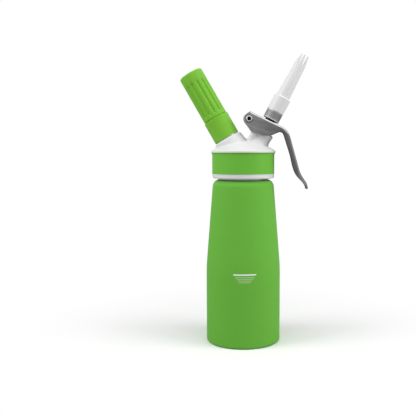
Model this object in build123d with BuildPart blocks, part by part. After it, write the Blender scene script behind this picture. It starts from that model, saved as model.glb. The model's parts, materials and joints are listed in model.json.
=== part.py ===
from build123d import *
import os
from math import cos, radians, sin, sqrt

# Whipped cream dispenser of the half-litre class, in millimetres, +Z up.
# The origin is the middle of the ring that the bottle stands on, and Z is the bottle's axis.
# Two necks leave the head: the charger holder's leans to -X, the dispensing valve's to +X.
# The lever turns about an axis along Y, above the valve's neck.

os.makedirs("parts", exist_ok=True)

# ---------------------------------------------------------------- driving dimensions
# Clearances
running_gap = 0.05  # shaft in a bush or a pin in its hole, on the radius
moving_gap = 0.35  # pieces that pass each other
seat_gap = 0.02  # faces that only meet when the piece is closed

# Bottle
bottle_radius = 40.0
bottle_wall = 1.6
bottle_edge = 2.4
least_edge = 0.5  # smallest round where an inset profile turns
foot_width = 6.0
base_recess = 2.2
side_height = 82.0
side_blend = 9.0
taper_top_radius = 33.0
taper_top_height = 168.8
shoulder_radius = 8.0
neck_radius = 26.6
neck_thread = 1.1  # how far the thread stands out of the neck
neck_wall = 1.9
neck_height = 199.0

# Head: skirt, dome and the soft grip band round it
skirt_low = 177.3
skirt_radius = 33.2
skirt_edge = 1.6
skirt_clearance = 0.6  # between the neck's thread and the skirt's bore
band_low = 182.2
band_height = 22.5
band_thickness = 1.8
band_swell = 0.2
band_lip = 0.9
band_lip_height = 1.2
band_bead = 0.3
band_lip_lean = 0.6  # inward slope of the lip's underside
rim_radius = 34.6
rim_round = 1.0
dome_radius = 58.0
dome_height = 217.8
gasket_thickness = 1.8
gasket_inset = 0.9
cavity_radius = 22.0
cavity_slope = 4.5  # how much higher the cavity is in the middle

# Charger neck and charger holder
holder_tilt = 30.0
holder_cross = 190.3  # height where the holder's axis leaves the bottle's
collar_height = 34.1
collar_radius = 15.7
collar_base_radius = 17.4
collar_base_depth = 12.0
collar_bevel = 1.6
spigot_length = 16.3
spigot_radius = 10.9
spigot_bore = 6.2
spigot_root = 11.0  # how deep the metal spigot sits in the moulding
spigot_chamfer = 0.6
charger_pocket = 7.4  # depth of the pocket for the charger's own neck
charger_seal_height = 2.2
charger_seal_bore = 3.2
pin_holder_length = 9.5
pin_holder_radius = 5.0
driver_slot = 1.2
pin_radius = 1.2
pin_bore = 0.45
pin_tip_wall = 0.1
pin_length = 12.5
pin_point = 3.2
pin_stand = 3.4  # how far the pin's point stands over the charger's seal
gas_bore = 2.0
check_valve_radius = 5.2
check_valve_thickness = 1.3
check_valve_stem = 1.4
check_valve_bulb = 1.95
check_valve_seat_depth = 4.0
holder_length = 79.4
sleeve_length = 24.4
sleeve_radius = 13.65
grip_radius = 12.6
grip_end_radius = 12.2
grip_end_round = 1.2
charger_bay_radius = 9.45
charger_length = 66.0
sleeve_groove = 0.4
insert_radius = 12.3
insert_flange_radius = 13.2
insert_length = 16.5
insert_lip = 0.5
flute_count = 12
flute_end_margin = 11.5
flute_foot_margin = 3.7
flute_radius = 2.6
flute_depth = 0.65

# Valve neck, valve and nozzle
valve_tilt = 28.0
valve_cross = 184.2  # height where the valve's axis leaves the bottle's
boss_radius = 11.0
boss_waist = 10.3
boss_top = 47.8
boss_chamfer = 1.0
boss_flare_top = 41.0
boss_pad_radius = 14.4
boss_pad_top = 32.6
seat_height = 24.0
seat_radius = 9.6
seat_bore = 6.0
stem_radius = 4.5
stem_bore = 2.4
stem_shank_radius = 3.0
stem_low = 15.2
stem_top = 72.0
port_radius = 1.3
port_height = 26.6
port_count = 4
stem_sump = 0.5  # how far the stem's bore goes on below its ports
press_collar_radius = 8.6
press_collar_low = 52.6
press_collar_edge = 4.2
press_collar_crown = 0.7
bush_flange_radius = 7.0
bush_flange_height = 2.0
bush_length = 8.5
bush_low = 29.0
spring_wire = 1.2
spring_radius = 5.9
spring_turns = 5
ring_low = 34.0
ring_section = 1.2
ring_groove_radius = 3.3
seal_radius = 7.8
seal_taper = 1.2
seal_height = 3.0
washer_height = 1.2
washer_radius = 6.0
nut_width = 9.0
nut_height = 3.6
adapter_washer_radius = 5.7
adapter_washer_height = 2.8
adapter_low = 62.5
adapter_height = 10.7
adapter_radius = 9.0
adapter_chamfer = 0.7
adapter_spigot_radius = 6.7
adapter_spigot_height = 8.0
tip_collar_radius = 9.1
tip_collar_flare = 0.25
tip_collar_height = 15.5
tip_shoulder_height = 1.6
tip_tube_radius = 7.45
tip_root_radius = 6.15
tip_mouth_radius = 4.6
tip_length = 65.8
tip_slot_length = 10.7
tip_slot_count = 6
tip_slot_root = 0.7
tip_slot_mouth = 3.0
tip_wall = 1.1
tip_mouth_wall = 0.8
tip_step_depth = 2.5  # from the top of the collar down to the tip's inner step

# Lever: a pressed channel, drawn from its pivot along its top plate
pivot_arm = 20.2  # from the valve's axis to the pivot
plate_slope = 25.5
sheet = 1.8
channel_half_width = 11.9
ear_radius = 5.4
ear_low = (-3.6, -5.6)
plate_rise = 7.5  # from the pivot up to the plate's outer face
plate_rear = -1.8
plate_length = 33.0
bend_radius = 19.0
bend_angle = 48.8
grip_length = 34.6
grip_depth = 4.7
nose_depth = 3.4
throat_reach = 3.8  # the inner corner between belly and grip
throat_depth = 3.1
throat_round = 4.0
belly_end = (26.5, -7.2)
belly_low = (17.0, -10.5)
heel = (8.0, -10.9)
heel_round = 3.0
flick_radius = 30.0
flick_angle = 18.0
nose_length = 6.0
nose_radius = 13.0
nose_angle = 36.0
grip_corner = 6.0
sheet_bend = 2.4
stem_hole_radius = 7.3
lug_half_width = 11.5
lug_shift = 1.3  # how far the lug's end stands behind the pivot
lug_end_radius = 5.3
lug_root_radius = 3.6
lug_root_arm = 8.6
lug_root_height = 43.4
pin_shank_radius = 2.95
bolt_head_radius = 3.25
bolt_head_height = 1.3
bolt_socket = 4.0
bolt_socket_depth = 3.0
bolt_head_round = 0.5
bolt_gap = 0.15
screw_radius = 1.9
screw_length = 11.0
screw_slot = 0.9


# ---------------------------------------------------------------- frames and helpers
def tilted_frame(tilt, cross_height):
    """A plane whose Z axis leaves the bottle's axis at a height and leans by tilt towards +X."""
    lean = radians(tilt)
    return Plane(
        origin=(0, 0, cross_height), x_dir=(cos(lean), 0, -sin(lean)), z_dir=(sin(lean), 0, cos(lean))
    )


def section(frame):
    """The plane through a frame's axis on which turned profiles are drawn as (radius, height)."""
    return Plane(origin=frame.origin, x_dir=frame.x_dir, z_dir=-frame.y_dir)


def axis_of(frame):
    return Axis(frame.origin, frame.z_dir)


def ring(inner, outer, low, high, mode=Mode.ADD):
    """The half section of a plain ring."""
    with Locations(((inner + outer) / 2, (low + high) / 2)):
        Rectangle(outer - inner, high - low, mode=mode)


def spoke(frame, angle):
    """A section plane turned about the frame's axis, so that it faces along a spoke at this angle."""
    turned = frame.rotated((0, 0, angle))
    return Plane(origin=frame.origin, x_dir=turned.y_dir, z_dir=turned.x_dir)


def outline(*points):
    """A straight-sided outline or half section, by its corners."""
    Polygon(*points, align=None)


upright = Plane.XY
charger = tilted_frame(-holder_tilt, holder_cross)
valve = tilted_frame(valve_tilt, valve_cross)
pivot = valve.from_local_coords((-pivot_arm, 0, press_collar_low))
pivot_spot = (pivot.X, pivot.Z)
lever_frame = Plane(
    origin=pivot, x_dir=(cos(radians(plate_slope)), 0, -sin(radians(plate_slope))), z_dir=(0, -1, 0)
)
lever_front = Plane(origin=pivot - Vector(ear_radius, 0, 0), x_dir=(0, 1, 0), z_dir=(1, 0, 0))

# ---------------------------------------------------------------- sizes that follow
thread_radius = neck_radius + neck_thread
neck_bore = neck_radius - neck_wall
skirt_bore = thread_radius + skirt_clearance
gasket_top = neck_height + gasket_thickness
band_seat = skirt_radius + band_swell - band_thickness
band_high = band_low + band_height
dome_centre = dome_height - dome_radius
cavity_top = gasket_top + cavity_slope

spigot_top = collar_height + spigot_length
spigot_low = collar_height - spigot_root
charger_seat = spigot_top - charger_pocket
pin_holder_top = charger_seat - charger_seal_height
pin_holder_low = pin_holder_top - pin_holder_length
pin_high = charger_seat + pin_stand
pin_low = pin_high - pin_length
check_seat = spigot_low - check_valve_seat_depth
insert_low = collar_height + moving_gap
insert_top = insert_low + insert_length
insert_bore = spigot_radius + moving_gap
holder_low = insert_low + insert_lip
holder_high = insert_low + holder_length
sleeve_top = insert_low + sleeve_length
bay_top = charger_seat + charger_length
flute_low = sleeve_top + flute_foot_margin
flute_high = holder_high - flute_end_margin

bush_flange_low = bush_low + bush_length - bush_flange_height
bush_top = bush_low + bush_length
recess_radius = bush_flange_radius
press_collar_top = press_collar_low + press_collar_edge
adapter_top = adapter_low + adapter_height
adapter_washer_low = adapter_low - adapter_washer_height
tip_low = adapter_top
tip_top = tip_low + tip_length
tip_collar_top = tip_low + tip_collar_height
tip_slot_low = tip_top - tip_slot_length
tip_bore = adapter_spigot_radius + moving_gap
tip_step = tip_collar_top - tip_step_depth
seal_top = seat_height - seat_gap
seal_low = seal_top - seal_height
washer_low = seal_low - washer_height
nut_low = washer_low - nut_height

spring_height = press_collar_low - bush_top
channel_outer = channel_half_width + sheet
pin_hole = pin_shank_radius + running_gap


# ================================================================ bottle
def bottle_half(inset, low, top):
    """Lines of the bottle's half section, set in from the outside by inset, from low up to top."""
    lean = (bottle_radius - taper_top_radius) / (taper_top_height - side_height)
    radius = bottle_radius - inset
    edge = max(bottle_edge - inset, least_edge)
    base = Line((0, low), (radius - edge, low))
    corner = JernArc(base @ 1, base % 1, edge, 90)
    side = Line(corner @ 1, (radius, side_height - side_blend))
    blend_end = (radius - lean * side_blend, side_height + side_blend)
    blend = TangentArc(side @ 1, blend_end, tangent=side % 1)
    taper = Line(blend @ 1, (taper_top_radius - inset, taper_top_height))
    neck = neck_radius - (neck_wall if inset else 0)
    lean_length = sqrt(1 + lean * lean)
    centre_r = taper_top_radius - inset - (shoulder_radius - inset) / lean_length
    centre_z = taper_top_height - (shoulder_radius - inset) * lean / lean_length
    reach = shoulder_radius - inset
    shoulder_end = (neck, centre_z + sqrt(reach * reach - (neck - centre_r) ** 2))
    RadiusArc(taper @ 1, shoulder_end, -reach)
    Polyline(shoulder_end, (neck, top), (0, top), (0, low))


with BuildPart() as bottle_shell:
    with BuildSketch(section(upright)):
        with BuildLine():
            bottle_half(0, 0, neck_height)
        make_face()
    revolve(axis=Axis.Z)
    with BuildSketch(section(upright)):
        with BuildLine():
            bottle_half(bottle_wall, base_recess + bottle_wall, neck_height)
        make_face()
    revolve(axis=Axis.Z, mode=Mode.SUBTRACT)
    # The base is dished, and stands on the ring that is left round it.
    with BuildSketch(section(upright)):
        dish_radius = bottle_radius - bottle_edge - foot_width
        outline((0, 0), (dish_radius, 0), (dish_radius - base_recess, base_recess), (0, base_recess))
    revolve(axis=Axis.Z, mode=Mode.SUBTRACT)
bottle_shell.part.label = "bottle_shell"
export_step(bottle_shell.part, "parts/bottle_shell.step")

with BuildPart() as head_gasket:
    with BuildSketch(section(upright)):
        ring(neck_bore, skirt_bore - gasket_inset, neck_height, gasket_top)
    revolve(axis=Axis.Z)
head_gasket.part.label = "head_gasket"
export_step(head_gasket.part, "parts/head_gasket.step")

# ================================================================ head
lug_root = valve.from_local_coords((-lug_root_arm, 0, lug_root_height))

with BuildPart() as head_body:
    # Skirt and dome, solid
    with BuildSketch(section(upright)) as dome_half:
        with BuildLine():
            rim_top = (rim_radius, dome_centre + sqrt(dome_radius**2 - rim_radius**2))
            Polyline(
                (0, dome_height),
                (0, skirt_low),
                (skirt_radius, skirt_low),
                (skirt_radius, band_low),
                (band_seat, band_low),
                (band_seat, band_high),
                (rim_radius, band_high),
                rim_top,
            )
            RadiusArc(rim_top, (0, dome_height), -dome_radius)
        make_face()
        fillet(dome_half.vertices().sort_by_distance((*rim_top, 0))[0], rim_round)
        fillet(dome_half.vertices().sort_by_distance((skirt_radius, skirt_low, 0))[0], skirt_edge)
    revolve(axis=Axis.Z)
    # The charger neck's collar, which the holder closes against
    with BuildSketch(section(charger)):
        outline(
            (0, collar_height - collar_base_depth),
            (collar_base_radius, collar_height - collar_base_depth),
            (collar_radius, collar_height - collar_bevel),
            (collar_radius - collar_bevel, collar_height),
            (0, collar_height),
        )
    revolve(axis=axis_of(charger))
    # The valve's boss, flared into the pad it rises from
    with BuildSketch(section(valve)):
        with BuildLine():
            wall = Line((boss_radius, boss_top - boss_chamfer), (boss_waist, boss_flare_top))
            flare = TangentArc(wall @ 1, (boss_pad_radius, boss_pad_top), tangent=wall % 1)
            Polyline(
                flare @ 1,
                (boss_pad_radius, bush_low),
                (0, bush_low),
                (0, boss_top),
                (boss_radius - boss_chamfer, boss_top),
                wall @ 0,
            )
        make_face()
    revolve(axis=axis_of(valve))
    # The lever's lug
    with BuildSketch(Plane.XZ):
        with Locations((pivot.X - lug_shift, pivot.Z)):
            Circle(lug_end_radius)
        with Locations((lug_root.X, lug_root.Z)):
            Circle(lug_root_radius)
        make_hull()
    extrude(amount=lug_half_width, both=True)
    # The boss is squared off at the back, under the lug.
    with BuildSketch(valve.offset(bush_low)):
        Circle(seat_radius)
        with GridLocations(0, 2 * (boss_waist - lug_root_radius), 1, 2):
            with Locations((-lug_root_arm, 0)):
                Circle(lug_root_radius)
        make_hull()
    extrude(amount=lug_root_height - bush_low)
    # Room for the bottle's neck, and the cavity over it
    with BuildSketch(section(upright)):
        ring(0, skirt_bore, skirt_low, gasket_top)
        outline(
            (0, gasket_top),
            (cavity_radius, gasket_top),
            (cavity_radius - cavity_slope, cavity_top),
            (0, cavity_top),
        )
    revolve(axis=Axis.Z, mode=Mode.SUBTRACT)
    # The valve seat stands into the cavity
    with BuildSketch(section(valve)):
        ring(0, seat_radius, seat_height, bush_low)
    revolve(axis=axis_of(valve))
    # Bores of the valve side
    with BuildSketch(section(valve)):
        ring(0, seat_radius, stem_low, seat_height)
        ring(0, seat_bore, seat_height, bush_flange_low)
        ring(0, recess_radius, bush_flange_low, press_collar_low)
    revolve(axis=axis_of(valve), mode=Mode.SUBTRACT)
    # Bores of the gas side: the spigot's pocket, the gas way and the check valve's seat
    with BuildSketch(section(charger)):
        ring(0, spigot_radius, spigot_low, collar_height)
        ring(0, gas_bore, 0, spigot_low)
        ring(0, check_valve_radius + moving_gap, 0, check_seat)
    revolve(axis=axis_of(charger), mode=Mode.SUBTRACT)
    # The pivot's bore
    with BuildSketch(Plane.XZ):
        with Locations(pivot_spot):
            Circle(pin_hole)
    extrude(amount=2 * lug_half_width, both=True, mode=Mode.SUBTRACT)
head_body.part.label = "head_body"
export_step(head_body.part, "parts/head_body.step")

with BuildPart() as head_grip_band:
    with BuildSketch(section(upright)):
        with BuildLine():
            face = skirt_radius + band_swell
            lip_low = band_high - band_lip_height
            Polyline(
                (face, lip_low - band_lip_height),
                (face, band_low + band_bead),
                (face + band_bead, band_low + band_bead / 2),
                (face, band_low),
                (band_seat, band_low),
                (band_seat, band_high),
                (face + band_lip, band_high),
                (face + band_lip, band_high - band_lip_height / 2),
            )
            Spline(
                (face + band_lip, band_high - band_lip_height / 2),
                (face, lip_low - band_lip_height),
                tangents=((-1, -band_lip_lean), (0, -1)),
            )
        make_face()
    revolve(axis=Axis.Z)
head_grip_band.part.label = "head_grip_band"
export_step(head_grip_band.part, "parts/head_grip_band.step")

# ================================================================ charger side
with BuildPart() as charger_spigot:
    with BuildSketch(section(charger)):
        outline(
            (gas_bore, spigot_low),
            (spigot_radius, spigot_low),
            (spigot_radius, spigot_top - spigot_chamfer),
            (spigot_radius - spigot_chamfer, spigot_top),
            (spigot_bore, spigot_top),
            (spigot_bore, pin_holder_top),
            (pin_holder_radius, pin_holder_top),
            (pin_holder_radius, pin_holder_low),
            (gas_bore, pin_holder_low),
        )
    revolve(axis=axis_of(charger))
charger_spigot.part.label = "charger_spigot"
export_step(charger_spigot.part, "parts/charger_spigot.step")

with BuildPart() as pin_holder:
    with BuildSketch(section(charger)):
        ring(pin_radius, pin_holder_radius, pin_holder_low, pin_holder_top)
        ring(0, gas_bore, pin_holder_low, pin_low, mode=Mode.SUBTRACT)
    revolve(axis=axis_of(charger))
    # A slot across the top takes the driver that screws it in.
    with BuildSketch(charger.offset(pin_holder_top)):
        Rectangle(2 * pin_holder_radius, driver_slot)
    extrude(amount=-driver_slot, mode=Mode.SUBTRACT)
pin_holder.part.label = "pin_holder"
export_step(pin_holder.part, "parts/pin_holder.step")

with BuildPart() as piercing_pin:
    with BuildSketch(section(charger)):
        outline(
            (pin_bore, pin_low),
            (pin_radius, pin_low),
            (pin_radius, pin_high - pin_point),
            (pin_bore + pin_tip_wall, pin_high),
            (pin_bore, pin_high),
        )
    revolve(axis=axis_of(charger))
piercing_pin.part.label = "piercing_pin"
export_step(piercing_pin.part, "parts/piercing_pin.step")

with BuildPart() as charger_seal:
    with BuildSketch(section(charger)):
        ring(charger_seal_bore, spigot_bore, pin_holder_top, charger_seat)
    revolve(axis=axis_of(charger))
charger_seal.part.label = "charger_seal"
export_step(charger_seal.part, "parts/charger_seal.step")

# An umbrella valve: the cap closes against the head, the bulb on its stem holds it there.
with BuildPart() as check_valve:
    with BuildSketch(section(charger)):
        outline(
            (0, check_seat - check_valve_thickness),
            (check_valve_radius - check_valve_thickness / 2, check_seat - check_valve_thickness / 2),
            (check_valve_radius, check_seat),
            (check_valve_stem, check_seat),
            (check_valve_stem, spigot_low),
            (check_valve_bulb, spigot_low + check_valve_stem),
            (0, spigot_low + 2 * check_valve_stem),
        )
    revolve(axis=axis_of(charger))
check_valve.part.label = "check_valve"
export_step(check_valve.part, "parts/check_valve.step")

with BuildPart() as holder_insert:
    with BuildSketch(section(charger)):
        outline(
            (insert_bore, insert_low),
            (insert_flange_radius, insert_low),
            (insert_flange_radius, holder_low),
            (insert_radius, holder_low),
            (insert_radius, insert_top),
            (insert_bore, insert_top),
        )
    revolve(axis=axis_of(charger))
holder_insert.part.label = "holder_insert"
export_step(holder_insert.part, "parts/holder_insert.step")

with BuildPart() as charger_holder:
    with BuildSketch(section(charger)) as holder_half:
        outline(
            (0, holder_low),
            (sleeve_radius, holder_low),
            (sleeve_radius, sleeve_top - sleeve_groove),
            (sleeve_radius - sleeve_groove, sleeve_top),
            (grip_radius - sleeve_groove, sleeve_top),
            (grip_radius, sleeve_top + 2 * sleeve_groove),
            (grip_end_radius, holder_high),
            (0, holder_high),
        )
        holder_corner = (grip_end_radius, holder_high, 0)
        fillet(holder_half.vertices().sort_by_distance(holder_corner)[0], grip_end_round)
    revolve(axis=axis_of(charger))
    # The insert's pocket, and above it the bay with a round end for the charger
    with BuildSketch(section(charger)):
        ring(0, insert_radius, holder_low, insert_top)
        with BuildLine():
            Polyline(
                (0, bay_top),
                (0, insert_top),
                (charger_bay_radius, insert_top),
                (charger_bay_radius, bay_top - charger_bay_radius),
            )
            RadiusArc((charger_bay_radius, bay_top - charger_bay_radius), (0, bay_top), -charger_bay_radius)
        make_face()
    revolve(axis=axis_of(charger), mode=Mode.SUBTRACT)
    # Finger flutes with round ends
    flute_circle = grip_radius + flute_radius - flute_depth
    with BuildSketch(charger.offset(flute_low + flute_radius)):
        with PolarLocations(flute_circle, flute_count):
            Circle(flute_radius)
    extrude(amount=flute_high - flute_low - 2 * flute_radius, mode=Mode.SUBTRACT)
    with Locations(charger.offset(flute_low + flute_radius), charger.offset(flute_high - flute_radius)):
        with PolarLocations(flute_circle, flute_count):
            Sphere(flute_radius, mode=Mode.SUBTRACT)
charger_holder.part.label = "charger_holder"
export_step(charger_holder.part, "parts/charger_holder.step")

# ================================================================ valve
with BuildPart() as valve_bush:
    with BuildSketch(section(valve)):
        ring(stem_radius + running_gap, seat_bore, bush_low, bush_flange_low)
        ring(stem_radius + running_gap, bush_flange_radius, bush_flange_low, bush_top)
    revolve(axis=axis_of(valve))
valve_bush.part.label = "valve_bush"
export_step(valve_bush.part, "parts/valve_bush.step")

with BuildPart() as valve_stem:
    with BuildSketch(section(valve)):
        ring(0, stem_shank_radius, stem_low, seal_top)
        ring(0, stem_radius, seal_top, stem_top)
        outline(
            (0, press_collar_low),
            (press_collar_radius, press_collar_low),
            (press_collar_radius, press_collar_top),
            (stem_radius, press_collar_top + press_collar_crown),
            (0, press_collar_top + press_collar_crown),
        )
        ring(ring_groove_radius, stem_radius, ring_low, ring_low + ring_section, mode=Mode.SUBTRACT)
        ring(0, stem_bore, port_height - port_radius - stem_sump, stem_top, mode=Mode.SUBTRACT)
    revolve(axis=axis_of(valve))
    # Ports let the cream into the stem's bore, just over the seal.
    for port in range(port_count // 2):
        with BuildSketch(spoke(valve, 360.0 * port / port_count)):
            with Locations((0, port_height)):
                Circle(port_radius)
        extrude(amount=2 * stem_radius, both=True, mode=Mode.SUBTRACT)
valve_stem.part.label = "valve_stem"
export_step(valve_stem.part, "parts/valve_stem.step")

with BuildPart() as stem_ring:
    with BuildSketch(section(valve)):
        with Locations((ring_groove_radius + ring_section / 2, ring_low + ring_section / 2)):
            Circle(ring_section / 2)
    revolve(axis=axis_of(valve))
stem_ring.part.label = "stem_ring"
export_step(stem_ring.part, "parts/stem_ring.step")

with BuildPart() as valve_spring:
    with BuildLine() as coil:
        Helix(
            pitch=(spring_height - spring_wire) / spring_turns,
            height=spring_height - spring_wire,
            radius=spring_radius,
            center=valve.offset(bush_top + spring_wire / 2).origin,
            direction=valve.z_dir,
        )
    with BuildSketch(Plane(origin=coil.line @ 0, z_dir=coil.line % 0)):
        Circle(spring_wire / 2)
    sweep(path=coil.line, is_frenet=True)
valve_spring.part.label = "valve_spring"
export_step(valve_spring.part, "parts/valve_spring.step")

with BuildPart() as valve_seal:
    with BuildSketch(section(valve)):
        outline(
            (stem_shank_radius, seal_low),
            (seal_radius - seal_taper, seal_low),
            (seal_radius, seal_top - seal_taper / 2),
            (seal_radius, seal_top),
            (stem_shank_radius, seal_top),
        )
    revolve(axis=axis_of(valve))
valve_seal.part.label = "valve_seal"
export_step(valve_seal.part, "parts/valve_seal.step")

with BuildPart() as seal_washer:
    with BuildSketch(section(valve)):
        ring(stem_shank_radius, washer_radius, washer_low, seal_low)
    revolve(axis=axis_of(valve))
seal_washer.part.label = "seal_washer"
export_step(seal_washer.part, "parts/seal_washer.step")

with BuildPart() as seal_nut:
    with BuildSketch(valve.offset(nut_low)):
        RegularPolygon(nut_width / 2, 6, major_radius=False)
        Circle(stem_shank_radius, mode=Mode.SUBTRACT)
    extrude(amount=nut_height)
seal_nut.part.label = "seal_nut"
export_step(seal_nut.part, "parts/seal_nut.step")

with BuildPart() as adapter_washer:
    with BuildSketch(section(valve)):
        ring(stem_radius, adapter_washer_radius, adapter_washer_low, adapter_low)
    revolve(axis=axis_of(valve))
adapter_washer.part.label = "adapter_washer"
export_step(adapter_washer.part, "parts/adapter_washer.step")

with BuildPart() as nozzle_adapter:
    with BuildSketch(section(valve)):
        outline(
            (stem_radius, adapter_low),
            (adapter_radius - adapter_chamfer, adapter_low),
            (adapter_radius, adapter_low + adapter_chamfer),
            (adapter_radius, adapter_top),
            (adapter_spigot_radius, adapter_top),
            (adapter_spigot_radius, adapter_top + adapter_spigot_height),
            (stem_bore, adapter_top + adapter_spigot_height),
            (stem_bore, stem_top),
            (stem_radius, stem_top),
        )
    revolve(axis=axis_of(valve))
nozzle_adapter.part.label = "nozzle_adapter"
export_step(nozzle_adapter.part, "parts/nozzle_adapter.step")

with BuildPart() as decorator_tip:
    with BuildSketch(section(valve)):
        outline(
            (tip_bore, tip_low),
            (tip_collar_radius, tip_low),
            (tip_collar_radius + tip_collar_flare, tip_collar_top),
            (tip_tube_radius, tip_collar_top + tip_shoulder_height),
            (tip_root_radius, tip_slot_low),
            (tip_mouth_radius, tip_top),
            (tip_mouth_radius - tip_mouth_wall, tip_top),
            (tip_root_radius - tip_wall, tip_slot_low),
            (tip_tube_radius - tip_wall, tip_collar_top),
            (tip_tube_radius - tip_wall, tip_step),
            (tip_bore, tip_step),
        )
    revolve(axis=axis_of(valve))
    # Slots that widen towards the mouth leave the crown of a star nozzle.
    for slot in range(tip_slot_count // 2):
        with BuildSketch(spoke(valve, 360.0 * slot / tip_slot_count)):
            outline(
                (-tip_slot_root / 2, tip_slot_low),
                (tip_slot_root / 2, tip_slot_low),
                (tip_slot_mouth / 2, tip_top + tip_slot_root),
                (-tip_slot_mouth / 2, tip_top + tip_slot_root),
            )
        extrude(amount=2 * tip_root_radius, both=True, mode=Mode.SUBTRACT)
decorator_tip.part.label = "decorator_tip"
export_step(decorator_tip.part, "parts/decorator_tip.step")

# ================================================================ lever
def web_line(inset, start):
    """The lever's web in side view, inset from its outer face, from start along the plate to the nose."""
    plate = Line((start, plate_rise - inset), (plate_length, plate_rise - inset))
    bend = JernArc(plate @ 1, plate % 1, bend_radius - inset, -bend_angle)
    grip = PolarLine(bend @ 1, grip_length, direction=bend % 1)
    flick = JernArc(grip @ 1, grip % 1, flick_radius + inset, flick_angle)
    nose = PolarLine(flick @ 1, nose_length, direction=flick % 1)
    tip = JernArc(nose @ 1, nose % 1, nose_radius - inset, -nose_angle)
    return grip, flick, nose, tip


def inward(line, share, depth):
    """A point at a share of a web line, at a depth from the web's outer face."""
    way = line % share
    return line @ share + Vector(way.Y, -way.X) * depth


# Places along the web, in the lever's own frame
halfway = 0.5
grip, flick, nose, tip = web_line(0, plate_rear)
nose_end = tip @ 1
nose_inner = inward(tip, 1, sheet)
nose_place = lever_frame.from_local_coords(nose_end)
lever_reach = nose_place.X + ear_radius
lever_drop = pivot.Z - nose_place.Z + seat_gap

# The channel's outside, still filled: the bent web with round edges, then flat ears before it
with BuildPart() as lever_block:
    with BuildSketch(lever_frame):
        with BuildLine():
            web_line(0, plate_rear)
            fill_end = inward(tip, 1, 4 * sheet)
            Polyline(nose_end, fill_end, (plate_rear, fill_end.Y), (plate_rear, plate_rise))
        make_face()
    extrude(amount=channel_outer, both=True)
    # The web's faces look up and out, so a direction between the two picks them.
    up_and_out = Vector(1, 0, 1).normalized()
    web_faces = lever_block.faces().filter_by(lambda face: face.normal_at().dot(up_and_out) > halfway)
    fillet(web_faces.edges().filter_by(lambda edge: abs(edge.center().Y) > channel_half_width), sheet_bend)
    with BuildSketch(lever_frame):
        outline(
            (-ear_radius, plate_rise),
            (-ear_radius, fill_end.Y),
            (plate_rear, fill_end.Y),
            (plate_rear, plate_rise),
        )
    extrude(amount=channel_outer, both=True)
    # Round corners at the nose, seen along X
    with BuildSketch(lever_front) as front:
        with Locations((0, plate_rise - lever_drop / 2)):
            Rectangle(2 * channel_outer, lever_drop + 2 * plate_rise)
        fillet(front.vertices().group_by(Axis.Y)[0], grip_corner)
    extrude(amount=lever_reach, mode=Mode.INTERSECT)
    # The flanges' outline: ears round the pivot, belly, throat, and a grip that fades into the nose
    with BuildSketch(lever_frame.offset(-channel_outer)) as side:
        with BuildLine():
            web_line(0, plate_rear)
            Line(nose_end, nose_inner)
            grip_inner = inward(grip, halfway, grip_depth)
            Spline(
                nose_inner,
                inward(nose, halfway, nose_depth),
                inward(flick, halfway, grip_depth),
                grip_inner,
                tangents=(-(tip % 1), -(grip % 1)),
            )
            throat = (plate_length + throat_reach, plate_rise - throat_depth)
            Polyline(grip_inner, throat, belly_end)
            ThreePointArc(belly_end, belly_low, heel)
            Line(heel, ear_low)
            ThreePointArc(ear_low, (-ear_radius, 0), (plate_rear, plate_rise))
        make_face()
        fillet(side.vertices().sort_by_distance((*throat, 0))[0], throat_round)
        fillet(side.vertices().sort_by_distance((*heel, 0))[0], heel_round)
    extrude(amount=2 * channel_outer, mode=Mode.INTERSECT)

# What fills the channel between its two flanges, with the gap between the ears behind the plate
with BuildPart() as channel_space:
    with BuildSketch(lever_frame):
        with BuildLine():
            *_, space_end = web_line(sheet, plate_rear)
            beyond = 3 * ear_radius
            Polyline(
                (plate_rear, plate_rise - sheet),
                (plate_rear, beyond),
                (-beyond, beyond),
                (-beyond, -lever_drop),
                space_end @ 1,
            )
        make_face()
    extrude(amount=channel_half_width, both=True)

with BuildPart() as lever:
    add(lever_block.part)
    add(channel_space.part, mode=Mode.SUBTRACT)
    with BuildSketch(Plane.XZ):
        with Locations(pivot_spot):
            Circle(pin_hole)
    extrude(amount=2 * channel_outer, both=True, mode=Mode.SUBTRACT)
    with BuildSketch(valve.offset(press_collar_low)):
        Circle(stem_hole_radius)
    extrude(amount=adapter_low - press_collar_low, mode=Mode.SUBTRACT)
lever.part.label = "lever"
export_step(lever.part, "parts/lever.step")

# The pivot: a hollow bolt with a hexagon socket, and the screw that closes it from behind
bolt_face = channel_outer + bolt_gap
with BuildPart() as pivot_bolt:
    with BuildSketch(Plane.XZ.offset(-bolt_face)):
        with Locations(pivot_spot):
            Circle(pin_shank_radius)
    extrude(amount=2 * bolt_face)
    with BuildSketch(Plane.XZ.offset(bolt_face)):
        with Locations(pivot_spot):
            Circle(bolt_head_radius)
    extrude(amount=bolt_head_height)
    fillet(pivot_bolt.faces().sort_by(Axis.Y)[0].outer_wire().edges(), bolt_head_round)
    with BuildSketch(Plane.XZ.offset(bolt_face + bolt_head_height)):
        with Locations(pivot_spot):
            RegularPolygon(bolt_socket / 2, 6, major_radius=False)
    extrude(amount=-bolt_socket_depth, mode=Mode.SUBTRACT)
    with BuildSketch(Plane.XZ.offset(-bolt_face)):
        with Locations(pivot_spot):
            Circle(screw_radius)
    extrude(amount=screw_length, mode=Mode.SUBTRACT)
pivot_bolt.part.label = "pivot_bolt"
export_step(pivot_bolt.part, "parts/pivot_bolt.step")

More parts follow.
